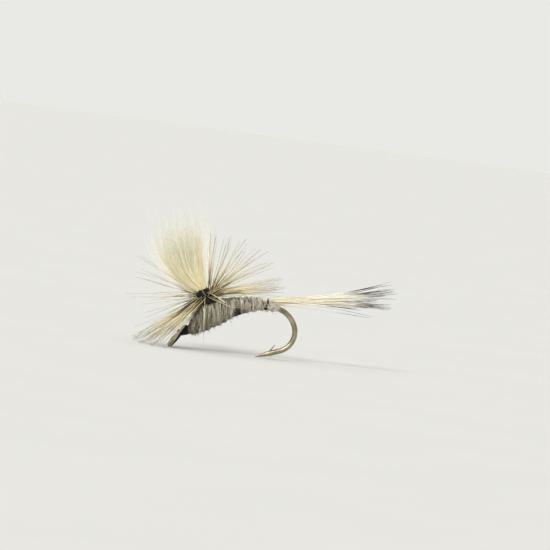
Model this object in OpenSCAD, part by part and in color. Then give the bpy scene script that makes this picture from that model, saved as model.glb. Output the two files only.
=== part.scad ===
// Parachute dry fly, tied on a down-eye hook, standing on its eye and its point.
// Built in the hook's own frame (+X along the shank to the bend, +Z to the wing),
// then turned and moved as one, so that the eye's centre is the origin and +Z is up.

/* [Hook] */
// Diameter of the hook wire
wire_d = 0.5; // [0.4:0.02:0.6]
// Straight length of the shank, from the neck of the eye to the bend
shank_len = 6.75; // [6:0.25:9]
// Radius of the first and widest arc of the bend
bend_r1 = 4.05; // [3.2:0.05:5]
// Radius of the second arc of the bend
bend_r2 = 2.5; // [2:0.05:3]
// Radius of the last and tightest arc of the bend
bend_r3 = 1.87; // [1.5:0.05:2.3]
// Length of full wire between the bend and the point
spear_len = 1.15; // [1:0.05:1.5]
// Length of the ground point
point_len = 1.3; // [1:0.05:2]
// Height of the barb's tip above the wire
barb_h = 0.4; // [0.1:0.05:0.45]
// Angle of the eye below the line of the shank
eye_droop = 29; // [0:1:40]
// Diameter of the wire that forms the eye
eye_wire_d = 0.42; // [0.34:0.02:0.5]
// Diameter of the hole through the eye
eye_bore_d = 0.94; // [0.8:0.02:1.2]

/* [Thread] */
// Diameter of the tying thread
thread_d = 0.1; // [0.08:0.01:0.12]
// Thickness of the flat layer of thread on the bare shank
thread_layer = 0.04; // [0.02:0.01:0.06]

/* [Tail] */
// Length of the tail fibres behind their last thread turn
tail_len = 12.1; // [8:0.1:14]
// Diameter of the bundle where thread holds it
tail_d = 0.32; // [0.24:0.02:0.4]
// Diameter of the fan at the tips
tail_fan_d = 1.9; // [1:0.1:3]
// Angle round the bend at which the tail leaves the shank
tail_turn = 17.5; // [12:0.5:18]

/* [Body] */
// Diameter of the abdomen where it meets the thorax
abdomen_d = 2.1; // [1.9:0.1:2.4]
// Diameter of the abdomen at the tail
abdomen_tip_d = 1.18; // [1.14:0.02:1.3]
// Turns of the dubbed rope along the abdomen
abdomen_turns = 8; // [5:1:10]
// Largest diameter of the thorax
thorax_d = 2.6; // [2.4:0.1:2.8]

/* [Wing post] */
// Distance of the post behind the neck of the eye
post_x = 3.1; // [3:0.1:3.4]
// Height of the wing tips above the shank
post_height = 11.4; // [8:0.1:12.5]
// Diameter of the hair bundle inside its thread
post_d = 0.84; // [0.7:0.02:0.9]
// Largest diameter of the flared wing
post_flare_d = 4.2; // [3:0.1:5]
// Lean of the wing towards the tail
post_lean = 1; // [-3:1:4]

/* [Hackle] */
// Diameter of the hackle across the barb tips
hackle_d = 14.2; // [10:0.2:14.6]
// Height of the hackle above the centre of the shank
hackle_z = 2.5; // [2.45:0.05:2.8]
// Diameter of the feather's stem
stem_d = 0.14; // [0.1:0.01:0.16]
// Turns of the stem round the post
stem_turns = 4; // [3:1:5]

/* [Head] */
// Diameter of the wound head
head_d = 0.88; // [0.8:0.02:1]
// Length of the wound head
head_len = 0.72; // [0.5:0.04:0.8]

/* [Hidden] */
$fn = 48;
touch = 0.01; // gap between solids that lie on one another
knuckle_gap = 0.01; // gap between two lengths of tube, closed by a ball
knuckle_over = 0.004; // how far that ball stands above the tube
cut_over = 1; // how far cutters run on past what they cut
wire_r = wire_d / 2;
base_r = wire_r + thread_layer;

// Bend: three arcs, each named by its centre and by how far the wire has turned
turn1 = 42;
turn2 = 94;
turn3 = 186;
function out(turn) = [sin(turn), cos(turn)];
function ahead(turn) = [cos(turn), -sin(turn)];
centre1 = [shank_len, -bend_r1];
centre2 = centre1 + (bend_r1 - bend_r2) * out(turn1);
centre3 = centre2 + (bend_r2 - bend_r3) * out(turn2);
spear_start = centre3 + bend_r3 * out(turn3);
point_r = 0.02;
hook_tip = spear_start + (spear_len + point_len) * ahead(turn3);
barb_root = 0.98 * spear_len;
barb_run = 0.75 * spear_len;
barb_heel = 0.2; // length of the cut behind the barb
barb_edge = 0.03; // thickness of the barb at its tip
barb_nib = 0.11; // length of the slope of that tip

// Eye: a ring of thinner wire at the end of a short neck
eye_land = 0.02; // how far the reamed hole cuts into the ring
eye_wire_r = eye_wire_d / 2;
ring_r = eye_bore_d / 2 + eye_wire_r - eye_land;
neck_len = 0.33;
eye_dist = ring_r + neck_len;
neck_turn = 180 - eye_droop;
eye_centre = eye_dist * ahead(neck_turn);
eye_end = (eye_dist + ring_r) * ahead(neck_turn);

// Stance: the line under the eye's ring and the hook point becomes level
span = hook_tip - eye_end;
stance = -atan2(span.y, span.x) - asin((eye_wire_r - point_r) / norm(span));

// Head: the whip finish next to the eye, then the wraps, then the lacquer behind them
whip_x = 0.06;
whip_turns = 2;
head_x = whip_x + whip_turns * thread_d + touch;
head_r = head_d / 2;
head_turns = floor((whip_x + head_len - head_x) / thread_d);
cement_x = head_x + head_turns * thread_d + touch;
cement_len = 0.07;
base_x = cement_x + cement_len + 0.03;

// Tail butts on top of the shank, and the thread round both
tail_r = tail_d / 2;
tail_rise = base_r + touch + tail_r;
tail_butt_x = 5.05;
lash_top = tail_rise + tail_r;
lash_rise = (lash_top - base_r) / 2;
lash_r = (lash_top + base_r) / 2 + thread_layer;
lash_turn = tail_turn - 2;
tail_start = centre1 + (bend_r1 + tail_rise) * out(tail_turn);
tail_neck_len = tail_len / 4;
tail_neck_r = 0.3;

// Post butts on top of the shank, and the thread round both
butt_r = 0.26;
butt_rise = base_r + touch + butt_r;
butt_end_x = 4.95;
clamp_top = butt_rise + butt_r;
clamp_rise = (clamp_top - base_r) / 2;
clamp_r = (clamp_top + base_r) / 2 + thread_layer;
clamp_x = post_x + 0.62;
dam_r = 0.5;
dam_front_r = base_r + 0.06;
dam_len = 0.5;
dam_x = post_x - 1.1;

// Post: thread base, then the hackle stem, then its tie-off
post_r = post_d / 2;
wrap_r = post_r + thread_d;
wrap_from = 1.15;
stem_r = stem_d / 2;
stem_pitch = 0.9 * stem_d;
coil_r = wrap_r + stem_r + touch;
cut_stem_len = 1.15;
cut_stem_x = 0.36; // where the cut end of the stem leaves the post
cut_stem_turn = [24, 145, 0];
coil_from = hackle_z - (stem_turns - 1) * stem_pitch / 2;
coil_top = coil_from + (stem_turns - 1) * stem_pitch + stem_r;
tie_from = coil_top + touch;
tie_len = 0.3;
wrap_to = tie_from - touch;
wrap_turns = floor((wrap_to - wrap_from) / thread_d);
barb_t = 0.16;
barb_edge_t = 0.08;
barb_from_r = coil_r + stem_r + touch;

// Dubbed fur, as barrels round axes that rise towards the wing
abdomen_from = [4.25, 0.5];
abdomen_to = centre1 + (bend_r1 + lash_rise) * out(lash_turn);
abdomen_axis = abdomen_to - abdomen_from;
abdomen_len = norm(abdomen_axis);
abdomen_dip = -atan2(abdomen_axis.y, abdomen_axis.x);
abdomen_belly = 0.1;
thorax_from = [base_x + 0.07, -0.02];
thorax_to = [abdomen_from.x + 0.35, 0.8]; // past the plane where the abdomen starts, and cut there
thorax_axis = thorax_to - thorax_from;
thorax_len = norm(thorax_axis);
thorax_turns = 5;
thorax_front_r = 0.5;
thorax_cone_r = 0.72; // radius midway if the thorax had no belly
hackle_room = 0.35; // how far the top of the thorax stays below the hackle
rope_depth = 0.07;
rope_steps = 6; // corners along each turn of the rope
rump_turn = 27;
rump_len = 0.95;
rump_r = 0.52;
rump_end_r = 0.36;
rump_rise = 0.12;
rump_tilt = 5; // the rump's barrel and the bare turns lean this far from the wire
bare_turn_slack = 0.03; // room between the bare turns and what they hold
bare_turn_pitch = 0.8 * thread_d;

hair_cream = [0.86, 0.81, 0.66];
feather_straw = [0.78, 0.72, 0.52];
fur_grey = [0.47, 0.47, 0.45];
thread_black = [0.07, 0.07, 0.08];
hook_bronze = [0.42, 0.38, 0.26];

// Turns the hook's frame into the standing frame
module standing() {
  rotate([0, -stance, 0]) translate([-eye_centre.x, 0, -eye_centre.y]) children();
}

// Sets +Z along the wire's direction after it has turned so far, at a point of the hook's plane
module heading(at, turn) {
  translate([at.x, 0, at.y]) rotate([0, turn + 90, 0]) children();
}

// Ball that joins one length of tube to the next
module knuckle(at, tube_r) {
  translate([at.x, 0, at.y]) sphere(r = tube_r + knuckle_over);
}

// Tube along an arc of the hook's plane, joined to what is before it
module arc_tube(centre, arc_r, tube_r, from, to) {
  start = from + asin(knuckle_gap / arc_r);
  knuckle(centre + arc_r * out(from), tube_r);
  translate([centre.x, 0, centre.y]) rotate([90, 0, 0]) rotate([0, 0, 90 - to])
    rotate_extrude(angle = to - start) translate([arc_r, 0]) circle(r = tube_r);
}

// Round shape along the wire's direction, joined to what is before it
module tapered_end(at, turn, profile) {
  knuckle(at, profile[0].x);
  heading(at, turn) translate([0, 0, knuckle_gap])
    rotate_extrude() polygon([[0, 0], each profile, [0, profile[len(profile) - 1].y]]);
}

// Tube that follows the shank at a height above it, and then the first arc of the bend
module shank_tube(tube_r, rise, from, turn) {
  heading([from, rise], 0) cylinder(h = shank_len - from, r = tube_r);
  arc_tube(centre1, bend_r1 + rise, tube_r, 0, turn);
}

// Thread turns side by side, as a round-edged sleeve along +Z
module wound_sleeve(inner_r, turns, bulge = 0) {
  rotate_extrude() {
    translate([inner_r, 0]) square([thread_d / 2, turns * thread_d]);
    for (i = [0 : turns - 1])
      translate([inner_r + thread_d / 2 + bulge * sin(180 * (i + 0.5) / turns), (i + 0.5) * thread_d])
        circle(d = thread_d);
    if (bulge > 0)
      polygon([
        [inner_r, 0],
        for (i = [0 : turns - 1])
          [inner_r + thread_d / 2 + bulge * sin(180 * (i + 0.5) / turns), (i + 0.5) * thread_d],
        [inner_r, turns * thread_d]
      ]);
  }
}

// Straight shank from the eye to the post, for cutting
module front_shank(tube_r) {
  heading([-cut_over, 0], 0) cylinder(h = post_x + cut_over, r = tube_r);
}

module eye_ring() {
  heading([0, 0], neck_turn) translate([0, 0, eye_dist]) rotate([0, 90, 0])
    rotate_extrude() translate([ring_r, 0]) circle(r = eye_wire_r);
}

module barb() {
  heading(spear_start, turn3) rotate([90, 0, 0]) linear_extrude(height = wire_r, center = true)
    polygon([
      [0, barb_root],
      [wire_r + barb_h, barb_root - barb_run],
      [wire_r + barb_h - barb_edge, barb_root - barb_run + barb_nib],
      [0, barb_root + barb_heel]
    ]);
}

module eye_neck() {
  tapered_end([0, 0], neck_turn, [[wire_r, 0], [0.92 * eye_wire_r, neck_len + eye_wire_r / 2]]);
}

module hook_wire() {
  eye_neck();
  shank_tube(wire_r, 0, knuckle_gap, turn1);
  arc_tube(centre2, bend_r2, wire_r, turn1, turn2);
  arc_tube(centre3, bend_r3, wire_r, turn2, turn3);
  tapered_end(spear_start, turn3, [
    [wire_r, 0],
    [wire_r, spear_len],
    [point_r, spear_len + point_len - knuckle_gap]
  ]);
}

module hook() {
  color(hook_bronze) standing() difference() {
    union() {
      hook_wire();
      eye_ring();
      barb();
    }
    heading([0, 0], neck_turn) translate([0, 0, eye_dist]) rotate([0, 90, 0])
      cylinder(h = 2 * wire_d, d = eye_bore_d, center = true);
  }
}

module thread_base() {
  color(thread_black) standing() difference() {
    shank_tube(base_r, 0, base_x, lash_turn);
    shank_tube(wire_r, 0, 0, turn1);
  }
}

module tail_bundle() {
  shank_tube(tail_r, tail_rise, tail_butt_x, tail_turn);
  tapered_end(tail_start, tail_turn, [
    [tail_r, 0],
    [tail_neck_r, tail_neck_len],
    [tail_fan_d / 2, tail_len]
  ]);
}

module tail_fibres() {
  color(hair_cream) standing() tail_bundle();
}

module tail_lashing() {
  color(thread_black) standing() difference() {
    shank_tube(lash_r, lash_rise, tail_butt_x + 0.02, lash_turn);
    shank_tube(base_r, 0, 0, turn1);
    shank_tube(tail_r, tail_rise, 0, turn1);
  }
}

// Hair bundle: butts along the shank, a bound root, and the flared wing above
module post_bundle() {
  wing_from = wrap_to + tie_len + touch;
  wing_len = post_height - wing_from;
  heading([post_x, butt_rise], 0) cylinder(h = butt_end_x - post_x, r = butt_r);
  translate([post_x, 0, base_r + touch]) cylinder(h = wing_from - base_r, r = post_r);
  translate([post_x, 0, wing_from]) rotate([0, post_lean, 0]) rotate_extrude() polygon([
    [0, -0.05],
    [post_r, 0],
    [post_flare_d / 2, 0.62 * wing_len],
    [post_flare_d / 2, 0.85 * wing_len],
    [0.3 * post_flare_d, wing_len],
    [0, wing_len]
  ]);
}

module wing_post() {
  color(hair_cream) standing() post_bundle();
}

module post_butt_lashing() {
  color(thread_black) standing() difference() {
    heading([clamp_x, clamp_rise], 0) cylinder(h = butt_end_x - clamp_x, r = clamp_r);
    shank_tube(base_r, 0, 0, 1);
    heading([post_x, butt_rise], 0) cylinder(h = shank_len - post_x, r = butt_r);
  }
}

module post_dam_wraps() {
  color(thread_black) standing() difference() {
    heading([dam_x, 0], 0) cylinder(h = dam_len, r1 = dam_front_r, r2 = dam_r);
    shank_tube(base_r, 0, 0, 1);
  }
}

module post_base_wraps() {
  color(thread_black) standing() translate([post_x, 0, wrap_to - wrap_turns * thread_d]) difference() {
    wound_sleeve(post_r, wrap_turns);
    translate([0, 0, -cut_over]) cylinder(h = post_height, r = post_r);
  }
}

module hackle_stem_coil() {
  color(feather_straw) standing() difference() {
    translate([post_x, 0, coil_from]) rotate_extrude()
      for (i = [0 : stem_turns - 1]) translate([coil_r, i * stem_pitch]) circle(r = stem_r);
    translate([post_x, 0, 0]) cylinder(h = post_height, r = wrap_r + touch / 2);
  }
}

// Cut end of the stem, lying over the side of the thorax
module stem_butt() {
  translate([post_x + cut_stem_x, -coil_r + thread_d / 2, coil_from - stem_d]) rotate(cut_stem_turn)
    cylinder(h = cut_stem_len, r = stem_r);
}

module hackle_stem_butt() {
  color(feather_straw) standing() stem_butt();
}

module hackle_barbs() {
  color(feather_straw) standing() translate([post_x, 0, hackle_z]) rotate_extrude() polygon([
    [barb_from_r, -barb_t / 2],
    [hackle_d / 2, -barb_edge_t / 2],
    [hackle_d / 2, barb_edge_t / 2],
    [barb_from_r, barb_t / 2]
  ]);
}

module hackle_tie_off() {
  color(thread_black) standing() translate([post_x, 0, tie_from]) difference() {
    wound_sleeve(post_r, floor(tie_len / thread_d));
    translate([0, 0, -cut_over]) cylinder(h = tie_len + 2 * cut_over, r = post_r);
  }
}

// Barrel of dubbed rope along +Z, its radius given at each end and rippled by the turns
module rope_barrel(len, from_r, to_r, turns, belly) {
  steps = turns * rope_steps;
  rotate_extrude() polygon([
    [0, 0],
    for (i = [0 : steps]) [
      from_r + (to_r - from_r) * i / steps
        + belly * sin(180 * i / steps)
        + rope_depth * (abs(sin(180 * i / rope_steps)) - 1),
      len * i / steps
    ],
    [0, len]
  ]);
}

module abdomen_dubbing() {
  color(fur_grey) standing() difference() {
    heading(abdomen_from, abdomen_dip)
      rope_barrel(abdomen_len, abdomen_d / 2, abdomen_tip_d / 2, abdomen_turns, abdomen_belly);
    heading([0, clamp_rise], 0) cylinder(h = butt_end_x + touch, r = clamp_r + touch);
    shank_tube(lash_r + touch, lash_rise, butt_end_x, turn1);
  }
}

module thorax_dubbing() {
  color(fur_grey) standing() difference() {
    heading(thorax_from, -atan2(thorax_axis.y, thorax_axis.x))
      rope_barrel(thorax_len, thorax_front_r, abdomen_d / 2, thorax_turns, thorax_d / 2 - thorax_cone_r);
    front_shank(base_r + touch);
    heading([dam_x - touch, 0], 0) cylinder(h = post_x - dam_x, r = dam_r + touch);
    heading([post_x - post_r, clamp_rise], 0)
      cylinder(h = butt_end_x - post_x + cut_over, r = clamp_r + touch);
    translate([post_x, 0, 0]) cylinder(h = post_height, r = wrap_r + touch);
    translate([post_x - thorax_d, -thorax_d, hackle_z - hackle_room]) cube(2 * thorax_d);
    stem_butt();
    heading(abdomen_from - touch * ahead(abdomen_dip), abdomen_dip)
      cylinder(h = abdomen_d, d = 2 * abdomen_d);
  }
}

module rear_thread_turns() {
  ring_turn = rump_turn - rump_tilt;
  rise = (tail_rise + tail_r - wire_r) / 2 + bare_turn_slack;
  turn_r = rise + wire_r + thread_d / 2 + bare_turn_slack;
  color(thread_black) standing()
    heading(centre1 + (bend_r1 + rise) * out(ring_turn), ring_turn) rotate_extrude()
      for (i = [0 : 1]) translate([turn_r, i * bare_turn_pitch]) circle(d = thread_d);
}

module rump_dubbing() {
  color(fur_grey) standing() difference() {
    heading(centre1 + (bend_r1 + rump_rise) * out(rump_turn), rump_turn + rump_tilt)
      rope_barrel(rump_len, rump_r, rump_end_r, 2, 0);
    arc_tube(centre1, bend_r1, wire_r + touch, 0, turn1);
    heading(tail_start, tail_turn)
      cylinder(h = tail_neck_len, r1 = tail_r + touch, r2 = tail_neck_r + touch);
  }
}

module head_wraps() {
  color(thread_black) standing() difference() {
    heading([head_x, 0], 0) wound_sleeve(wire_r, head_turns, head_r - wire_r - thread_d);
    front_shank(wire_r);
  }
}

// Last turns, between the head and the neck of the eye
module whip_finish() {
  color(thread_black) standing() difference() {
    heading([whip_x, 0], 0) wound_sleeve(wire_r, whip_turns);
    front_shank(wire_r);
  }
}

// Lacquer film over the back of the head
module head_cement() {
  color([0.12, 0.11, 0.1]) standing() difference() {
    heading([cement_x, 0], 0) cylinder(h = cement_len, r1 = wire_r + thread_d, r2 = base_r + touch);
    front_shank(wire_r);
  }
}

hook();
thread_base();
tail_fibres();
tail_lashing();
wing_post();
post_butt_lashing();
post_dam_wraps();
post_base_wraps();
hackle_stem_coil();
hackle_stem_butt();
hackle_barbs();
hackle_tie_off();
abdomen_dubbing();
thorax_dubbing();
rear_thread_turns();
rump_dubbing();
head_wraps();
whip_finish();
head_cement();
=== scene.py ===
import bpy
import math
import numpy as np
from mathutils import Matrix, Vector


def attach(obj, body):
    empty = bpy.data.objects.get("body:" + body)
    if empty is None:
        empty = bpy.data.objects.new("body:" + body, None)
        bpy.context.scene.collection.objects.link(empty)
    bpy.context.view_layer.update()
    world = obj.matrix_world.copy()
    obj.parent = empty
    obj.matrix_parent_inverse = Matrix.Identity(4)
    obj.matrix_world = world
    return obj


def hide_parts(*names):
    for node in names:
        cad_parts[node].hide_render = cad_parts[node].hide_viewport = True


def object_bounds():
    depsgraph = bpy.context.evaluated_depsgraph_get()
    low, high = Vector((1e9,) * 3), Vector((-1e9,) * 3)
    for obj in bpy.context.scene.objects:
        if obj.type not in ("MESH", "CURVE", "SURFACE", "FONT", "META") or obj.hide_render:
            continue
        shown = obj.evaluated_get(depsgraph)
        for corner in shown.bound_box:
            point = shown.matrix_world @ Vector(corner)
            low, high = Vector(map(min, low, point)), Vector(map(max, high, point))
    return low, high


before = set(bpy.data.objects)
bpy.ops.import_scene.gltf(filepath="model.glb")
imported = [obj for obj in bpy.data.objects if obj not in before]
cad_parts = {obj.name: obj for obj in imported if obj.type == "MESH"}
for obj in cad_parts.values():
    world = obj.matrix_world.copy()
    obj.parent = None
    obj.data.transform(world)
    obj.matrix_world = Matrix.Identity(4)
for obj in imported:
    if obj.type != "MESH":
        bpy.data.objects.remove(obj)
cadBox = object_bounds()
print("frame loaded")

mm = 0.001

# the hook's own measures, in millimetres and degrees, as the design has them
hookSize = {
    "shank": 6.75,
    "bendRadii": (4.05, 2.5, 1.87),
    "bendTurns": (42, 94, 186),
    "spearAndPoint": 2.45,
    "pointRadius": 0.02,
    "eyeDroop": 29,
    "eyeWire": 0.42,
    "eyeDistance": 0.99,
    "eyeRing": 0.66,
}


def outwards(turn):
    return np.array([math.sin(math.radians(turn)), math.cos(math.radians(turn))])


def onwards(turn):
    return np.array([math.cos(math.radians(turn)), -math.sin(math.radians(turn))])


# centres of the bend's three arcs in the hook's plane: x along the shank, z to the wing
firstRadius, secondRadius, thirdRadius = hookSize["bendRadii"]
firstTurn, secondTurn, thirdTurn = hookSize["bendTurns"]
firstCentre = np.array([hookSize["shank"], -firstRadius])
secondCentre = firstCentre + (firstRadius - secondRadius) * outwards(firstTurn)
thirdCentre = secondCentre + (secondRadius - thirdRadius) * outwards(secondTurn)
spearStart = thirdCentre + thirdRadius * outwards(thirdTurn)
hookTip = spearStart + hookSize["spearAndPoint"] * onwards(thirdTurn)
neckTurn = 180 - hookSize["eyeDroop"]
eyeCentre = hookSize["eyeDistance"] * onwards(neckTurn)
eyeEnd = (hookSize["eyeDistance"] + hookSize["eyeRing"]) * onwards(neckTurn)
span = hookTip - eyeEnd
lean = math.asin((hookSize["eyeWire"] / 2 - hookSize["pointRadius"]) / math.hypot(*span))
stance = -math.atan2(span[1], span[0]) - lean
floorLevel = cadBox[0][2]


def stand(points):
    # hook's frame in millimetres -> standing frame in metres
    p = np.asarray(points, dtype=float)
    x = p[..., 0] - eyeCentre[0]
    z = p[..., 2] - eyeCentre[1]
    c = math.cos(stance)
    s = math.sin(stance)
    return np.stack([x * c - z * s, p[..., 1], x * s + z * c], axis=-1) * mm


def besideBend(turn, rise):
    # a point over the first arc of the bend
    at = firstCentre + (firstRadius + rise) * outwards(turn)
    return np.array([at[0], 0, at[1]])


class Socket:
    # a shader socket that works in sums
    def __init__(self, wiring, socket):
        self.wiring = wiring
        self.socket = socket

    def __add__(self, other):
        return self.wiring.sum("ADD", self, other)

    def __radd__(self, other):
        return self.wiring.sum("ADD", other, self)

    def __sub__(self, other):
        return self.wiring.sum("SUBTRACT", self, other)

    def __rsub__(self, other):
        return self.wiring.sum("SUBTRACT", other, self)

    def __mul__(self, other):
        return self.wiring.sum("MULTIPLY", self, other)

    def __rmul__(self, other):
        return self.wiring.sum("MULTIPLY", other, self)


class Wiring:
    def __init__(self, tree):
        self.tree = tree

    def node(self, kind, settings=None, inputs=None, output=0):
        made = self.tree.nodes.new("ShaderNode" + kind)
        for key, value in (settings or {}).items():
            if key == "stops":
                elements = made.color_ramp.elements
                while len(elements) < len(value):
                    elements.new(0.5)
                for element, (place, colour) in zip(elements, value):
                    element.position = place
                    element.color = (*colour, 1)
            else:
                setattr(made, key, value)
        for key, value in (inputs or {}).items():
            if isinstance(value, Socket):
                self.tree.links.new(value.socket, made.inputs[key])
            else:
                made.inputs[key].default_value = value
        return Socket(self, made.outputs[output])

    def sum(self, how, first, second):
        return self.node("Math", {"operation": how}, {0: first, 1: second})

    def axis(self, vector, index):
        return self.node("SeparateXYZ", inputs={0: vector}, output=index)

    def ramp(self, factor, stops):
        return self.node("ValToRGB", {"stops": stops}, {0: factor})

    def mask(self, factor, stops):
        # a ramp from grey to grey
        return self.ramp(factor, [(place, (level, level, level)) for place, level in stops])

    def blend(self, factor, first, second):
        # two colours, each a socket or a triple
        first = first if isinstance(first, Socket) else (*first, 1)
        second = second if isinstance(second, Socket) else (*second, 1)
        return self.node("Mix", {"data_type": "RGBA"}, {0: factor, 6: first, 7: second}, output=2)

    def place(self):
        # where a point lies in its piece's own coordinates
        return self.node("TexCoord", output=3)

    def grain(self, scale, detail, stretch=(1, 1, 1)):
        # noise, squeezed or drawn out along an axis
        stretched = self.node("Mapping", inputs={"Vector": self.place(), "Scale": stretch})
        return self.node("TexNoise", inputs={"Vector": stretched, "Scale": scale, "Detail": detail})


strandRows = 64  # shades of strand that one finish tells apart
rollStep = 2.4  # how far each strand is rolled past the one before, so that flat sides face all ways
mapMargin = 0.08  # what a strand's band of the map leaves free at either edge


class Finish(Wiring):
    def __init__(self, name, **sockets):
        self.material = bpy.data.materials.new(name)
        self.material.use_nodes = True
        super().__init__(self.material.node_tree)
        self.shader = self.tree.nodes["Principled BSDF"]
        for socket, value in sockets.items():
            self.shader.inputs[socket.replace("_", " ")].default_value = value

    def feed(self, socket, value):
        self.tree.links.new(value.socket, self.shader.inputs[socket])

    def bump(self, height, strength, distance):
        raised = self.node("Bump", inputs={"Strength": strength, "Distance": distance, "Height": height})
        self.feed("Normal", raised)

    def strand(self):
        # how far along its strand a point is, and which shade its strand has, both from 0 to 1
        place = self.node("UVMap", {"uv_map": "OFBake"})
        row = self.node("Math", {"operation": "FLOOR"}, {0: self.axis(place, 1) * strandRows})
        return self.axis(place, 0), row * (1 / strandRows)


def bronzeWire():
    # drawn wire, with painted shade that darkens it from the head down the back of the eye
    paint = Finish("bronzeWire", Metallic=0.9, Roughness=0.3)
    cloud = paint.grain(1100, 4)
    drawn = paint.grain(9000, 3, (0.12, 1, 0.12))
    place = paint.place()
    along = paint.axis(place, 0)
    up = paint.axis(place, 2)
    nearHead = paint.mask(along * 400 + 0.5, [(0.3, 0), (0.42, 1), (0.95, 1), (1, 0)])
    # painted shade: a mask that grows towards the lower back of the eye, broken up a little by the cloud
    # noise
    paintedShadeBelow = paint.mask(along * 700 - up * 500 + cloud * 0.4, [(0.08, 0), (0.26, 1)])
    base = paint.ramp(cloud, [
        (0.3, (0.20, 0.175, 0.105)),
        (0.55, (0.35, 0.32, 0.21)),
        (0.75, (0.50, 0.47, 0.34)),
    ])
    streaked = paint.blend(drawn * 0.3, base, (0.13, 0.11, 0.065))
    # near the head the painted shade turns the wire a near-black brown
    paint.feed("Base Color", paint.blend(nearHead * paintedShadeBelow * 0.95, streaked, (0.03, 0.02, 0.01)))
    paint.feed("Roughness", 0.27 + drawn * 0.2)
    paint.bump(drawn, 0.2, 0.00001)
    return paint.material


def strandFinish(name, tone, roughness, gloss):
    # tone gives the colour from the place along a strand and the strand's shade
    paint = Finish(name, Specular_IOR_Level=gloss)
    length, shade = paint.strand()
    paint.feed("Base Color", tone(paint, length, shade))
    paint.feed("Roughness", roughness - 0.1 + shade * 0.2)
    return paint.material


def wingTone(paint, length, shade):
    tan = paint.ramp(length, [
        (0, (1.0, 0.88, 0.57)),
        (0.58, (1.0, 0.92, 0.66)),
        (0.9, (0.75, 0.735, 0.645)),
    ])
    ivory = paint.ramp(length, [
        (0, (1.0, 0.93, 0.68)),
        (0.58, (1.0, 0.97, 0.76)),
        (0.9, (0.78, 0.77, 0.71)),
    ])
    return paint.blend(shade, tan, ivory)


def tailTone(paint, length, shade):
    # cream, then a dark tip that starts early on the dark shades and hardly at all on the light ones
    return paint.ramp(length + shade * 0.46 - 0.47, [
        (0, (0.89, 0.82, 0.61)),
        (0.3, (0.90, 0.87, 0.73)),
        (0.5, (0.84, 0.83, 0.72)),
        (0.62, (0.09, 0.08, 0.078)),
        (0.8, (0.022, 0.02, 0.028)),
        (1, (0.09, 0.085, 0.09)),
    ])


def barbTone(paint, length, shade):
    straw = paint.ramp(length, [
        (0, (0.05, 0.04, 0.02)),
        (0.06, (0.50, 0.41, 0.20)),
        (0.5, (0.84, 0.76, 0.48)),
        (1, (0.36, 0.335, 0.26)),
    ])
    olive = paint.ramp(length, [
        (0, (0.04, 0.03, 0.015)),
        (0.1, (0.28, 0.22, 0.10)),
        (0.5, (0.56, 0.49, 0.27)),
        (1, (0.28, 0.26, 0.19)),
    ])
    straw = paint.blend(shade * 2, olive, straw)
    dark = paint.ramp(length, [
        (0, (0.006, 0.005, 0.004)),
        (0.15, (0.010, 0.008, 0.005)),
        (0.32, (0.15, 0.115, 0.055)),
        (0.58, (0.66, 0.58, 0.34)),
        (1, (0.26, 0.24, 0.19)),
    ])
    darkRooted = paint.node("Math", {"operation": "GREATER_THAN"}, {0: shade, 1: 0.5})
    return paint.blend(darkRooted, straw, dark)


def quillTone(paint, length, shade):
    return paint.ramp(length, [(0, (0.66, 0.56, 0.33)), (1, (0.88, 0.82, 0.62))])


def furTone(paint, length, shade):
    return paint.ramp(shade, [
        (0, (0.03, 0.025, 0.018)),
        (0.25, (0.17, 0.148, 0.105)),
        (0.55, (0.44, 0.40, 0.31)),
        (1, (0.86, 0.83, 0.74)),
    ])


def packedFur(name, light, dark):
    # the underfur that shows between the loose fibres
    paint = Finish(name, Roughness=0.9, Specular_IOR_Level=0.15)
    twist = paint.grain(5200, 4, (1, 0.25, 0.25))
    cloud = paint.grain(1100, 3)
    paint.feed("Base Color", paint.ramp(twist * 0.6 + cloud * 0.5, [(0.4, dark), (0.72, light)]))
    paint.bump(twist, 0.7, 0.00004)
    return paint.material


def waxedThread():
    # twisted thread: fine plies cross it at a slant
    paint = Finish("waxedThread", Specular_IOR_Level=0.22)
    length, shade = paint.strand()
    plies = paint.node("Math", {"operation": "SINE"}, {0: length * 2600 + shade * 12.6})
    shine = paint.grain(6000, 2)
    worn = (plies * 0.5 + 0.5) * shine
    paint.feed("Base Color", paint.blend(worn, (0.004, 0.004, 0.005), (0.035, 0.034, 0.034)))
    paint.feed("Roughness", 0.3 + shine * 0.3)
    paint.bump(plies, 0.35, 0.000006)
    return paint.material


def innerThread():
    # layers inside the fur, which keep their own solids
    paint = Finish("innerThread", Specular_IOR_Level=0.2, Roughness=0.55)
    turns = paint.grain(9000, 2, (1, 0.1, 0.1))
    paint.feed("Base Color", paint.ramp(turns, [(0.3, (0.004, 0.004, 0.005)), (0.7, (0.02, 0.02, 0.021))]))
    paint.bump(turns, 0.6, 0.00002)
    return paint.material


def lacquer():
    paint = Finish("headLacquer", Coat_Weight=0.6, Specular_IOR_Level=0.3)
    cloud = paint.grain(4000, 3)
    paint.feed("Base Color", paint.ramp(cloud, [(0.3, (0.006, 0.005, 0.004)), (0.7, (0.02, 0.018, 0.016))]))
    paint.feed("Roughness", 0.1 + cloud * 0.15)
    return paint.material


finishes = {
    "wire": bronzeWire(),
    "thread": waxedThread(),
    "inner": innerThread(),
    "wing": strandFinish("wingHair", wingTone, 0.5, 0.3),
    "tail": strandFinish("tailHair", tailTone, 0.6, 0.12),
    "barb": strandFinish("hackleBarb", barbTone, 0.38, 0.35),
    "quill": strandFinish("featherQuill", quillTone, 0.35, 0.4),
    "fur": strandFinish("dubbingFur", furTone, 0.75, 0.2),
    "core": packedFur("packedFur", (0.22, 0.20, 0.165), (0.035, 0.03, 0.024)),
    "paleCore": packedFur("packedPaleFur", (0.62, 0.58, 0.49), (0.3, 0.275, 0.22)),
    "lacquer": lacquer(),
}
print("finishes made")


def putInScene(name, data):
    thing = bpy.data.objects.new(name, data)
    bpy.context.scene.collection.objects.link(thing)
    return thing


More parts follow.
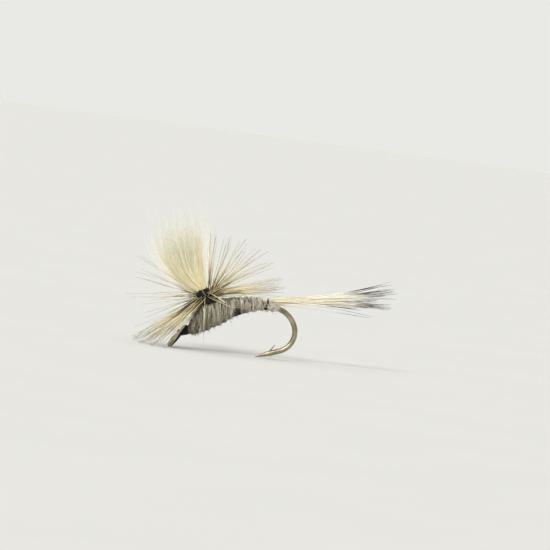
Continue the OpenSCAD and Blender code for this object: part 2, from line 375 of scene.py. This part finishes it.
def addPiece(name, mesh, finish):
    thing = putInScene(name, mesh)
    mesh.materials.append(finishes[finish])
    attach(thing, "root")
    return thing


def strands(name, paths, radii, shades, finish, sides):
    # one mesh of many tapering strands: paths are (strand, point, xyz) in metres, radii in millimetres
    count, steps = paths.shape[:2]
    along = np.gradient(paths, axis=1)
    along /= np.linalg.norm(along, axis=2, keepdims=True) + 1e-15
    flattest = np.argmin(np.abs(along.mean(axis=1)), axis=1)
    side = np.zeros((count, 1, 3))
    side[np.arange(count), 0, flattest] = 1
    first = np.cross(along, side)
    first /= np.linalg.norm(first, axis=2, keepdims=True) + 1e-15
    second = np.cross(along, first)
    roll = np.arange(count)[:, None, None, None] * rollStep
    turn = (np.arange(sides) * 2 * np.pi / sides)[None, None, :, None] + roll
    ring = first[:, :, None, :] * np.cos(turn) + second[:, :, None, :] * np.sin(turn)
    vertices = paths[:, :, None, :] + ring * radii[:, :, None, None] * mm
    start = (np.arange(count) * steps * sides)[:, None, None]
    i = (np.arange(steps - 1) * sides)[None, :, None]
    j = np.arange(sides)[None, None, :]
    k = (j + 1) % sides
    walls = np.stack([start + i + j, start + i + k, start + i + sides + k, start + i + sides + j], axis=-1)
    walls = walls.reshape(-1, 4)
    nearCaps = start[:, :, 0] + np.arange(sides)[::-1]
    farCaps = start[:, :, 0] + (steps - 1) * sides + np.arange(sides)
    corners = np.concatenate([walls.ravel(), nearCaps.ravel(), farCaps.ravel()])
    sizes = np.concatenate([np.full(len(walls), 4), np.full(2 * count, sides)])
    mesh = bpy.data.meshes.new(name)
    mesh.vertices.add(vertices.size // 3)
    mesh.vertices.foreach_set("co", vertices.ravel())
    mesh.loops.add(len(corners))
    mesh.loops.foreach_set("vertex_index", corners.astype(np.int32))
    mesh.polygons.add(len(sizes))
    mesh.polygons.foreach_set("loop_start", (np.cumsum(sizes) - sizes).astype(np.int32))
    mesh.polygons.foreach_set("use_smooth", np.full(len(sizes), sides > 3))
    # the map runs along a strand one way and round it the other, in the band of the strand's shade
    band = (1 - 2 * mapMargin) / strandRows
    rows = np.clip((np.asarray(shades) * strandRows).astype(int), 0, strandRows - 1)
    low = ((rows + mapMargin) / strandRows)[:, None, None] + np.zeros((count, steps - 1, sides))
    u = np.linspace(0, 1, steps)
    uLow = u[:-1][None, :, None] + np.zeros_like(low)
    uHigh = u[1:][None, :, None] + np.zeros_like(low)
    vLow = low + band * j / sides
    vHigh = vLow + band / sides
    wallMap = np.stack([uLow, vLow, uLow, vHigh, uHigh, vHigh, uHigh, vLow], axis=-1)
    # the caps take a thin sliver at either end of the band
    across = band * (0.1 + 0.8 * np.sin(np.pi * np.arange(sides) / sides))
    capRows = low[:, 0, :1] + across
    inset = 0.004 * (np.arange(sides) % 2) + np.zeros_like(capRows)
    nearMap = np.stack([inset, capRows], axis=-1)
    farMap = np.stack([1 - inset, capRows], axis=-1)
    layer = mesh.uv_layers.new(name="OFBake")
    layer.data.foreach_set("uv", np.concatenate([wallMap.ravel(), nearMap.ravel(), farMap.ravel()]))
    mesh.update(calc_edges=True)
    return addPiece(name, mesh, finish)


def curve(x, stations):
    # smooth curve through a few stations (place, value)
    xs = np.array([s[0] for s in stations], float)
    ys = np.array([s[1] for s in stations], float)
    slope = np.gradient(ys, xs)
    x = np.clip(x, xs[0], xs[-1])
    i = np.clip(np.searchsorted(xs, x) - 1, 0, len(xs) - 2)
    h = xs[i + 1] - xs[i]
    t = (x - xs[i]) / h
    start = (2 * t ** 3 - 3 * t ** 2 + 1) * ys[i] + (t ** 3 - 2 * t ** 2 + t) * h * slope[i]
    return start + (3 * t ** 2 - 2 * t ** 3) * ys[i + 1] + (t ** 3 - t ** 2) * h * slope[i + 1]


def evenly(points, count):
    # a line through the same points, spaced evenly
    points = np.asarray(points, float)
    run = np.concatenate([[0], np.cumsum(np.linalg.norm(np.diff(points, axis=0), axis=1))])
    want = np.linspace(0, run[-1], count)
    return np.stack([np.interp(want, run, points[:, a]) for a in range(3)], axis=1)


def offFloor(paths, gap, bend):
    # strands that would reach the floor curve away along it
    lifted = paths.copy()
    above = lifted[..., 2] - floorLevel - gap * mm
    lifted[..., 2] += (np.sqrt(above ** 2 + (bend * mm) ** 2) - above) / 2
    return lifted


keptSolids = {
    "hook": "wire",
    "thread_base": "inner",
    "tail_lashing": "inner",
    "post_butt_lashing": "inner",
    "post_dam_wraps": "inner",
    "head_cement": "lacquer",
}
for node, finish in keptSolids.items():
    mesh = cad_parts[node].data
    mesh.materials.clear()
    mesh.materials.append(finishes[finish])
    mesh.shade_smooth()
print("hook and inner thread dressed")

body = {
    "seed": 11,
    "pitch": 0.56,
    "ridge": 0.08,
    "slant": 0.36,
    "from": 0.6,
    "join": 4.3,
    "to": 8.2,
    "top": [
        (0.5, 0.18), (0.75, 0.30), (1.5, 0.98), (2.5, 1.70),
        (3.66, 1.80), (5.36, 1.47), (7.18, 0.93), (8.4, 0.33),
    ],
    "under": [
        (0.5, -0.42), (0.75, -0.56), (1.5, -0.72), (2.5, -0.68),
        (4.1, -0.53), (5.6, -0.25), (6.7, -0.40), (8.4, -0.62),
    ],
    "lump": 0.013,
    "locks": 560,
    "perLock": 5,
    "fibre": 0.0125,
    "sweep": (0.7, 2.1),
    "drift": 0.16,
    "stray": 0.15,
    "shade": (0.51, 0.19),
    "rearLift": 0.15,
    # where the thread shows through: its place and half length, and its height and half height
    "gap": (5.72, 0.34, -0.62, 0.5),
    "gapDarkness": 0.8,
}


def bodySurface(x, angle, lift):
    # the dubbed rope: its turns lean back a little as they are wound
    half = (curve(x, body["top"]) - curve(x, body["under"])) / 2
    leaning = x + body["slant"] * half * np.sin(angle)
    top = curve(leaning, body["top"])
    under = curve(leaning, body["under"])
    ridge = np.abs(np.sin(np.pi * (x / body["pitch"] - angle / (2 * np.pi))))
    lumps = np.sin(3.1 * x + 2 * angle) + np.sin(5.3 * x - 3 * angle + 1.2)
    r = (top - under) / 2 - body["ridge"] * (1 - ridge) + body["lump"] * lumps + lift
    return np.stack([leaning, r * np.cos(angle), (top + under) / 2 + r * np.sin(angle)], axis=-1)


rump = {
    "seed": 23,
    "from": 24,
    "to": 40,
    "rise": 0.14,
    "radius": [(0, 0.47), (0.5, 0.44), (1, 0.30)],
    "locks": 170,
    "perLock": 8,
    "fibre": 0.0115,
    "sweep": (0.3, 1.6),
    "drift": 0.35,
    "stray": 0.25,
    "shade": (0.84, 0.13),
}


def rumpSurface(x, angle, lift):
    # x runs from 0 to 1 round the start of the bend
    turn = np.radians(rump["from"] + (rump["to"] - rump["from"]) * x)
    r = curve(x, rump["radius"]) + 0.02 * np.sin(3 * angle + 9 * x) + lift
    out = firstRadius + rump["rise"] + r * np.sin(angle)
    along = firstCentre[0] + out * np.sin(turn)
    up = firstCentre[1] + out * np.cos(turn)
    return np.stack([along, r * np.cos(angle), up], axis=-1)


# how deep packed fur lies under the tops of the loose fibres, and how finely it is divided
packed = {"sink": 0.05, "rings": 90, "around": 64}
# how the loose fibres lie: a lock's and a fibre's arch, and how far strays stand off, as gamma spreads
lie = {"points": 11, "depth": 0.04, "lockArch": (1.5, 0.026), "fibreArch": (1.2, 0.012), "strays": (2, 0.085)}


def furCore(name, surface, start, end, finish):
    # closed lumpy surface under the loose fibres
    rings = packed["rings"]
    around = packed["around"]
    turns = np.arange(around) * 2 * np.pi / around
    x, angle = np.meshgrid(np.linspace(start, end, rings), turns, indexing="ij")
    points = surface(x.ravel(), angle.ravel(), -packed["sink"])
    i, j = np.meshgrid(np.arange(rings - 1) * around, np.arange(around), indexing="ij")
    k = (j + 1) % around
    faces = np.stack([i + j, i + k, i + around + k, i + around + j], axis=-1).reshape(-1, 4).tolist()
    faces.append(list(range(around - 1, -1, -1)))
    faces.append(list(range((rings - 1) * around, rings * around)))
    mesh = bpy.data.meshes.new(name)
    mesh.from_pydata(stand(points).tolist(), [], faces)
    mesh.update()
    mesh.shade_smooth()
    return addPiece(name, mesh, finish)


def furLocks(name, surface, size, start, end, dice, shading):
    # locks of a few fibres each: most lie wound on the rope, and strays stand off it at one end
    count = size["locks"]
    each = size["perLock"]
    drift = size["drift"]
    steps = lie["points"]

    def lockwise(values):
        return np.repeat(values, each)[:, None]

    t = np.linspace(0, 1, steps)[None, :]
    x0 = dice.uniform(start, end, count)
    a0 = dice.uniform(0, 2 * np.pi, count)
    shades = shading(x0, a0, dice)
    total = count * each
    turned = lockwise(dice.uniform(*size["sweep"], count)) + dice.normal(0, 0.15, (total, 1))
    angle = lockwise(a0) + dice.normal(0, 0.05, (total, 1)) - turned * (t - 0.5)
    x = lockwise(x0) + dice.normal(0, 0.03, (total, 1)) * (end - start) / 4
    x = x + (lockwise(dice.normal(0, drift, count)) + dice.normal(0, drift / 3, (total, 1))) * (t - 0.5)
    arch = lockwise(dice.gamma(*lie["lockArch"], count)) + dice.gamma(*lie["fibreArch"], (total, 1))
    lift = -lie["depth"] + arch * np.sin(np.pi * t) + 0.01 * np.sin(11 * t + lockwise(a0) * 9)
    loose = (dice.random(total) < size["stray"])[:, None]
    lift = lift + loose * dice.gamma(*lie["strays"], (total, 1)) * t ** 1.6
    length = end - start
    x = np.clip(x, start - 0.05 * length, end + 0.02 * length)
    x = x + loose * dice.normal(0, drift, (total, 1)) * t ** 2
    points = surface(x.ravel(), angle.ravel(), lift.ravel()).reshape(total, steps, 3)
    taper = size["fibre"] * dice.uniform(0.7, 1.5, (total, 1)) * (1 - 0.75 * np.abs(2 * t - 1) ** 3)
    mixed = np.clip(np.repeat(shades, each) + dice.normal(0, 0.07, total), 0, 0.999)
    paths = offFloor(stand(points), gap=0.03, bend=0.02)
    return strands(name, paths, taper, mixed, "fur", sides=3)


def bodyShade(x, angle, dice):
    # mixed greys, darker where the thread shows through behind the thorax, lighter to the rear
    place, length, height, depth = body["gap"]
    nearSide = np.cos(angle) < 0.3
    gap = nearSide * np.exp(-((x - place) / length) ** 2 - ((np.sin(angle) - height) / depth) ** 2)
    mean, spread = body["shade"]
    shades = mean + spread * dice.normal(0, 1, len(x)) + body["rearLift"] * (x > 5)
    return np.clip(shades - body["gapDarkness"] * gap, 0.02, 0.98)


def rumpShade(x, angle, dice):
    mean, spread = rump["shade"]
    return np.clip(mean + spread * dice.normal(0, 1, len(x)), 0.3, 0.99)


thoraxCore = furCore("thoraxCore", bodySurface, body["from"], body["join"], "core")
abdomenCore = furCore("abdomenCore", bodySurface, body["join"] + 0.02, body["to"], "core")
rumpCore = furCore("rumpCore", rumpSurface, 0.03, 0.97, "paleCore")
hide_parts("thorax_dubbing")
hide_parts("abdomen_dubbing")
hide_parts("rump_dubbing")
dice = np.random.default_rng(body["seed"])
furLocks("thoraxFur", bodySurface, body, body["from"], body["join"], dice, bodyShade)
furLocks("abdomenFur", bodySurface, body, body["join"], body["to"], dice, bodyShade)
dice = np.random.default_rng(rump["seed"])
furLocks("rumpFur", rumpSurface, rump, 0.0, 1.0, dice, rumpShade)
print("body dubbed")

wing = {
    "seed": 31,
    "x": 3.1,
    "bound": 2.95,
    "height": 8.35,
    "hairs": 2100,
    "hair": 0.0125,
    "front": [(0, -0.36), (0.12, -1.3), (0.28, -2.25), (0.42, -2.65), (0.55, -2.9), (0.75, -2.8), (1, -2.4)],
    "back": [(0, 0.36), (0.18, 0.62), (0.38, 1.1), (0.55, 1.55), (0.76, 1.85), (1, 2.1)],
    "depth": [(0, 0.36), (0.3, 0.85), (0.6, 1.35), (1, 1.6)],
    "shortest": 0.22,
    "wisps": 90,
    "wispRadius": (0.9, 1.35),
    "wispReach": (0.6, 1.12),
    "waves": (8, 20),
    "crimp": 0.06,
    "astray": 0.4,
    "astrayShare": 0.3,
    "rootLength": 1.2,
    "points": 14,
}


def wingHairs():
    dice = np.random.default_rng(wing["seed"])
    count = wing["hairs"]
    radius = dice.random((count, 1)) ** 0.55
    around = dice.uniform(0, 2 * np.pi, (count, 1))
    reach = np.clip(dice.beta(2.3, 2.0, (count, 1)), wing["shortest"], 1.0)
    wisp = np.arange(count)[:, None] < wing["wisps"]
    radius = np.where(wisp, dice.uniform(*wing["wispRadius"], (count, 1)), radius)
    reach = np.where(wisp, dice.uniform(*wing["wispReach"], (count, 1)), reach)
    t = np.linspace(0, 1, wing["points"])[None, :]
    s = t * reach
    front = curve(s, wing["front"])
    back = curve(s, wing["back"])
    depth = curve(s, wing["depth"])
    phase = dice.uniform(0, 6.3, (2, count, 1))
    wave = dice.uniform(*wing["waves"], (2, count, 1))
    crimp = wing["crimp"] * s * dice.uniform(0.4, 1.4, (count, 1))
    ripple = crimp * np.sin(wave * s + phase)
    astray = dice.normal(0, wing["astray"], (2, count, 1)) * t ** 2.2
    astray = astray * (dice.random((count, 1)) < wing["astrayShare"])
    dx = (front + back) / 2 + radius * np.cos(around) * (back - front) / 2 + ripple[0] + astray[0]
    dy = radius * np.sin(around) * depth + ripple[1] + astray[1]
    points = np.stack([wing["x"] + dx, dy, wing["bound"] + s * wing["height"]], axis=-1)
    root = points[:, :1].copy()
    root[:, :, 2] -= wing["rootLength"]
    points = np.concatenate([root, points], axis=1)
    ends = np.linspace(0, 1, wing["points"] + 1)[None, :]
    taper = wing["hair"] * dice.uniform(0.75, 1.25, (count, 1)) * (1 - 0.7 * ends ** 2.2)
    return strands("wingHair", stand(points), taper, dice.random(count), "wing", sides=3)


wingHair = wingHairs()
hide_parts("wing_post")
print("wing flared")

tail = {
    "seed": 47,
    "turn": 17.5,
    "rise": 0.43,
    "dip": 1.7,
    "bundle": 0.35,
    "fibre": 0.03,
    "points": 24,
    "lengths": (0.97, 0.035),
    "tips": (0.045, 0.05),
    "bow": (0.07, 0.05),
    "hook": (0.05, 0.12),
    "pinch": 0.38,
    "close": 0.72,
    # length, rise and side of a lock's tips, how dark it is, and its number of fibres
    "locks": [
        (12.3, 1.65, 0.3, 0.64, 6),
        (12.3, 1.1, -0.4, 0.62, 6),
        (13.0, 0.85, 0.1, 0.6, 7),
        (12.2, -0.3, -0.2, 0.5, 6),
        (12.9, -0.72, 0.2, 0.78, 8),
        (9.5, -0.85, -0.3, 0.6, 4),
        (10.4, -1.5, 0.3, 0.6, 2),
        (12.4, 0.35, 0.5, 0.25, 6),
        (11.2, 0.0, 0.6, 0.4, 6),
        (11.6, 0.5, -0.8, 0.3, 6),
        (11.0, -0.4, -0.9, 0.35, 6),
        (8.6, 0.25, 0, 0.1, 12),
        (7.4, -0.1, 0.2, 0.05, 12),
        (9.5, 0.8, 0.3, 0.1, 8),
        (10.0, -0.5, 0.2, 0.1, 8),
    ],
}


def tailFibres():
    dice = np.random.default_rng(tail["seed"])
    start = besideBend(tail["turn"], tail["rise"])
    ahead = onwards(tail["turn"] + tail["dip"])
    forward = np.array([ahead[0], 0, ahead[1]])
    up = np.array([-ahead[1], 0, ahead[0]])
    side = np.array([0, 1, 0])
    t = np.linspace(-0.1, 1, tail["points"])  # the butts lie behind 0, under the lashing
    free = np.maximum(t, 0)
    belly = np.sin(np.pi * free)
    spread = free ** 1.7
    paths = []
    shades = []
    radii = []
    for length, rise, aside, dark, fibres in tail["locks"]:
        for fibre in range(fibres):
            far = length * dice.normal(*tail["lengths"])
            angle = dice.uniform(0, 2 * np.pi)
            out = tail["bundle"] * math.sqrt(dice.random())
            tipRise = rise + dice.normal(0, tail["tips"][0])
            tipSide = aside + dice.normal(0, tail["tips"][1])
            bow = dice.normal(0, tail["bow"])
            hook = dice.normal(*tail["hook"]) * free ** 4
            pinch = 1 - tail["pinch"] * (1 - np.clip(t * 7, 0, 1))
            gather = out * pinch * (1 - tail["close"] * free)
            lift = np.sin(angle) * gather + tipRise * spread + bow[0] * belly + hook
            wide = np.cos(angle) * gather + tipSide * spread + bow[1] * belly
            paths.append(start + np.outer(far * t, forward) + np.outer(lift, up) + np.outer(wide, side))
            shades.append(min(max(dark + dice.normal(0, 0.06), 0), 0.99))
            radii.append(tail["fibre"] * dice.uniform(0.75, 1.15) * (1 - 0.75 * free ** 6))
    paths = stand(np.array(paths))
    return strands("tailFibres", paths, np.array(radii), shades, "tail", sides=3)


tailPiece = tailFibres()
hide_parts("tail_fibres")
print("tail set")

hackle = {
    "seed": 59,
    "x": 3.3,
    "z": 2.42,
    "root": 0.42,
    "barb": 0.041,
    "points": 16,
    "lowest": -34,
    "highest": 70,
    "lengths": (0.97, 0.07),
    "swing": 7,
    "droop": (-3, 6),
    "footSpread": 20,
    "depth": 0.25,
    # count, direction round the post and its spread, rise and its spread, length, share with dark roots,
    # and how far round the post from its own direction a barb is rooted
    "groups": [
        (44, 188, 50, -16, 4.5, 7.8, 0.6, 40),
        (20, 203, 24, -18.5, 2.2, 7.6, 0.75, 88),
        (8, 212, 18, -16, 1.5, 6.6, 0.9, 95),
        (7, 182, 44, 43, 7, 7.4, 0.3, 0),
        (6, 182, 60, 6, 11, 6.4, 0.3, 0),
        (26, -10, 110, 42, 16, 6.3, 0.25, 0),
        (18, -12, 110, 14, 6, 6.8, 0.3, 0),
        (36, 2, 60, -11, 4, 6.9, 0.35, 0),
        (22, 95, 60, 10, 12, 6.8, 0.4, 0),
        (8, 265, 60, 10, 9, 6.4, 0.4, 0),
        (1, 249, 0, -32, 0, 7.2, 0, 0),
    ],
    # a barb that has fallen back over the abdomen
    "fallen": [(3.5, -0.4, 2.4), (4.2, -1.05, 1.6), (4.86, -1.16, 0.91), (5.6, -1.08, 0.5), (6.5, -0.9, 0.1)],
}


def hackleBarbs():
    dice = np.random.default_rng(hackle["seed"])
    steps = hackle["points"]
    t = np.linspace(0, 1, steps)[None, :]
    paths = []
    radii = []
    shades = []
    for count, middle, spread, rise, riseSpread, length, darkShare, footTurn in hackle["groups"]:
        direction = np.radians(middle + dice.uniform(-0.5, 0.5, (count, 1)) * spread)
        lift = dice.normal(rise, riseSpread, (count, 1))
        lift = np.radians(np.clip(lift, hackle["lowest"], hackle["highest"]))
        reach = length * np.clip(dice.normal(*hackle["lengths"], (count, 1)), 0.7, 1.05)
        swing = np.radians(dice.normal(0, hackle["swing"], (count, 1)))
        droop = np.radians(dice.normal(*hackle["droop"], (count, 1)))
        a = direction + swing * t ** 1.5
        e = lift + droop * t ** 1.5
        heads = np.stack([np.cos(e) * np.cos(a), np.cos(e) * np.sin(a), np.sin(e)], axis=-1)
        run = (np.cumsum(heads, axis=1) - heads) * reach[..., None] / (steps - 1)
        foot = direction + np.radians(footTurn + dice.normal(0, hackle["footSpread"], (count, 1)))
        rootX = hackle["x"] + hackle["root"] * np.cos(foot)
        rootY = hackle["root"] * np.sin(foot)
        rootZ = hackle["z"] + dice.uniform(-hackle["depth"], hackle["depth"], (count, 1))
        paths.append(np.stack([rootX, rootY, rootZ], axis=-1) + run)
        radii.append(hackle["barb"] * dice.uniform(0.7, 1.15, (count, 1)) * (1 - 0.75 * t ** 1.3))
        shades.append(dice.uniform(0, 0.5, count) + 0.5 * (dice.random(count) < darkShare))
    bent = np.linspace(0, len(hackle["fallen"]) - 1, 60)
    fallen = np.stack([curve(bent, list(enumerate(v))) for v in zip(*hackle["fallen"])], axis=1)
    paths.append(evenly(fallen, steps)[None])
    radii.append(hackle["barb"] * (0.7 - 0.5 * t ** 1.3))
    shades.append(np.array([0.45]))
    paths = offFloor(stand(np.concatenate(paths)), gap=0.04, bend=0.35)
    radii = np.concatenate(radii)
    shades = np.concatenate(shades)
    return strands("hackleBarbs", paths, radii, shades, "barb", sides=6)


barbs = hackleBarbs()
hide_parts("hackle_barbs")
print("hackle wound")

# the axes that thread and quill are wound round
shankAxis = (1, 0, 0)
postAxis = (0, 0, 1)
neckAxis = (onwards(neckTurn)[0], 0, onwards(neckTurn)[1])
wireAxis = (0.81, 0, -0.585)

# a line of a winding: centre, axis, the radii it passes through, turns, advance for each turn,
# starting angle in radians and how unevenly it lies
headThread = {
    "radius": 0.05,
    "points": 420,
    "lines": [
        ((0, 0, 0), shankAxis, (0.30, 0.40, 0.30), 9.5, 0.078, 0.4, 0.016),
        ((0.72, 0, 0), shankAxis, (0.31, 0.44, 0.31), 7.5, -0.088, 2.1, 0.024),
        ((0.05, 0, 0), shankAxis, (0.32, 0.47, 0.32), 5.5, 0.115, 4, 0.03),
    ],
}
whipThread = {
    "radius": 0.05,
    "points": 120,
    "lines": [((0, 0, 0), neckAxis, (0.30, 0.30), 3.2, 0.09, 0, 0.012)],
}
# round the hair, and then more loosely over the roots of the barbs
postThread = {
    "radius": 0.05,
    "points": 520,
    "lines": [
        ((wing["x"], 0, 1.35), postAxis, (0.47, 0.47), 12, 0.13, 0, 0.012),
        ((wing["x"], 0, 3.0), postAxis, (0.5, 0.5), 9, -0.17, 1, 0.025),
        ((3.35, 0, 1.75), (0.2, 0, 1), (0.95, 0.57), 9, 0.085, 0.5, 0.05),
        ((3.4, 0, 2.45), (0.3, 0, 1), (0.62, 0.92), 7, -0.085, 2.5, 0.07),
    ],
}
tieThread = {
    "radius": 0.05,
    "points": 260,
    "lines": [
        ((wing["x"], 0, 2.72), postAxis, (0.54, 0.46), 6, 0.07, 2, 0.03),
        ((wing["x"], 0, 3.12), postAxis, (0.50, 0.58), 4, -0.09, 5, 0.04),
        ((wing["x"], 0, 2.55), (-0.22, 0, 1), (0.67, 0.61), 6, 0.07, 1, 0.03),
        ((3.2, 0, 2.5), (0.3, 0, 1), (0.68, 0.62), 5, 0.05, 3, 0.05),
    ],
}
quillCoil = {
    "radius": 0.065,
    "points": 200,
    "lines": [((wing["x"], 0, 2.2), postAxis, (0.54, 0.54), 4, 0.15, 4.2, 0.012)],
}
# the stem's cut end lies along the side of the thorax
quillButt = {
    "radius": 0.05,
    "points": 24,
    "path": [
        (3.35, -0.62, 2.72),
        (3.62, -0.80, 2.62),
        (3.95, -1.00, 2.25),
        (4.30, -1.16, 1.80),
        (4.68, -1.26, 1.32),
    ],
}
rearThread = {
    "radius": 0.055,
    "points": 120,
    "lines": [((8.4, 0, -0.17), wireAxis, (0.53, 0.53), 2.2, 0.07, 1.2, 0.012)],
}
# points in each turn, places in each turn where it wavers, and how thin the ends get
wrap = {"seed": 71, "points": 28, "wavers": 3, "ends": 0.3}


def winding(centre, axis, radii, count, rise, start, wobble, dice):
    # one thread wound round an axis
    axis = np.asarray(axis, float) / np.linalg.norm(axis)
    across = np.array([0, 1, 0])
    upwards = np.cross(across, axis)
    t = np.linspace(0, count, int(count * wrap["points"]) + 1)
    angle = 2 * np.pi * t + start
    wavers = dice.normal(0, wobble, int(count * wrap["wavers"]) + 3)
    slack = np.interp(t, np.linspace(0, count, len(wavers)), wavers)
    r = slack + curve(t / count * (len(radii) - 1), list(enumerate(radii)))
    line = np.asarray(centre, float) + np.outer(t * rise, axis)
    return line + np.outer(np.cos(angle) * r, across) + np.outer(np.sin(angle) * r, upwards)


def wound(name, node, piece, lines, finish):
    # lines of thread or quill, thinner at both ends
    paths = np.stack([stand(evenly(line, piece["points"])) for line in lines])
    radii = np.full(paths.shape[:2], piece["radius"])
    radii[:, 0] *= wrap["ends"]
    radii[:, -1] *= wrap["ends"]
    shades = np.linspace(0.1, 0.9, len(lines))
    made = strands(name, paths, radii, shades, finish, sides=8)
    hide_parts(node)


dice = np.random.default_rng(wrap["seed"])
for name, node, piece, finish, slotName in [
    ("headThread", "head_wraps", headThread, "thread", "black_thread"),
    ("whipThread", "whip_finish", whipThread, "thread", "black_thread"),
    ("postThread", "post_base_wraps", postThread, "thread", "black_thread"),
    ("tieThread", "hackle_tie_off", tieThread, "thread", "black_thread"),
    ("quillCoil", "hackle_stem_coil", quillCoil, "quill", "feather_quill"),
    ("quillButt", "hackle_stem_butt", quillButt, "quill", "feather_quill"),
    ("rearThread", "rear_thread_turns", rearThread, "thread", "black_thread"),
]:
    lines = [piece["path"]] if "path" in piece else [winding(*line, dice) for line in piece["lines"]]
    wound(name, node, piece, lines, finish)
print("thread wound")

studio = {
    "paper": (0.545, 0.545, 0.53),
    "horizon": 0.815,
    "band": 0.40,
    "overhead": 1.5,
    "sun": 2.15,
    "sunAngle": 22,
    "sunColour": (1, 0.985, 0.96),
    "sunDirection": (0.45, 0.72, -0.66),
    "reach": 5,
}

floorMesh = bpy.data.meshes.new("studioFloor")
reach = studio["reach"]
floorCorners = [(-reach, -reach), (reach, -reach), (reach, reach), (-reach, reach)]
floorMesh.from_pydata([(x, y, floorLevel) for x, y in floorCorners], [], [(0, 1, 2, 3)])
studioFloor = putInScene("studioFloor", floorMesh)
paperFinish = Finish("studioPaper", Roughness=0.95, Specular_IOR_Level=0.1)
paperGrain = paperFinish.grain(60, 3)
darker = tuple(v * 0.99 for v in studio["paper"])
lighter = tuple(v * 1.01 for v in studio["paper"])
paperFinish.feed("Base Color", paperFinish.ramp(paperGrain, [(0.3, darker), (0.7, lighter)]))
floorMesh.materials.append(paperFinish.material)

world = bpy.data.worlds.new("studioWorld")
world.use_nodes = True
sky = Wiring(world.node_tree)
height = sky.axis(sky.node("TexCoord"), 2)


def grey(level):
    return (level, level, level * 0.965)


skyTone = sky.ramp(height, [
    (0.07, grey(studio["horizon"])),
    (0.16, grey(studio["band"])),
    (0.45, grey(studio["band"])),
    (0.8, grey(studio["overhead"])),
])
world.node_tree.links.new(skyTone.socket, world.node_tree.nodes["Background"].inputs["Color"])
bpy.context.scene.world = world

lamp = bpy.data.lights.new("softKey", "SUN")
lamp.energy = studio["sun"]
lamp.angle = math.radians(studio["sunAngle"])
lamp.color = studio["sunColour"]
key = putInScene("softKey", lamp)
key.rotation_euler = Vector(studio["sunDirection"]).to_track_quat("-Z", "Y").to_euler()

# the camera looks at a point given in the hook's frame, and is rolled so that the shank has its tilt
view = {
    "distance": 0.42,
    "width": 0.0519,
    "elevation": 2,
    "azimuth": -8,
    "shankTilt": 18.5,
    "aim": (10.09, 0, 2.16),
    "sensor": 36,
}
tilt = math.radians(view["elevation"])
turn = math.radians(view["azimuth"])
lens = bpy.data.cameras.new("camera")
lens.sensor_width = view["sensor"]
lens.lens = view["sensor"] * view["distance"] / view["width"]
lens.clip_start = 0.01
lens.clip_end = 20
camera = putInScene("camera", lens)
looking = Vector((-math.sin(turn) * math.cos(tilt), math.cos(turn) * math.cos(tilt), -math.sin(tilt)))
target = Vector(stand(view["aim"]))
camera.location = target - looking * view["distance"]
upright = looking.to_track_quat("-Z", "Y").to_matrix()
roll = stance - math.radians(view["shankTilt"])
camera.rotation_euler = (Matrix.Rotation(-roll, 3, looking) @ upright).to_euler()
bpy.context.scene.camera = camera
bpy.context.scene.view_settings.view_transform = "Standard"
print("studio set")
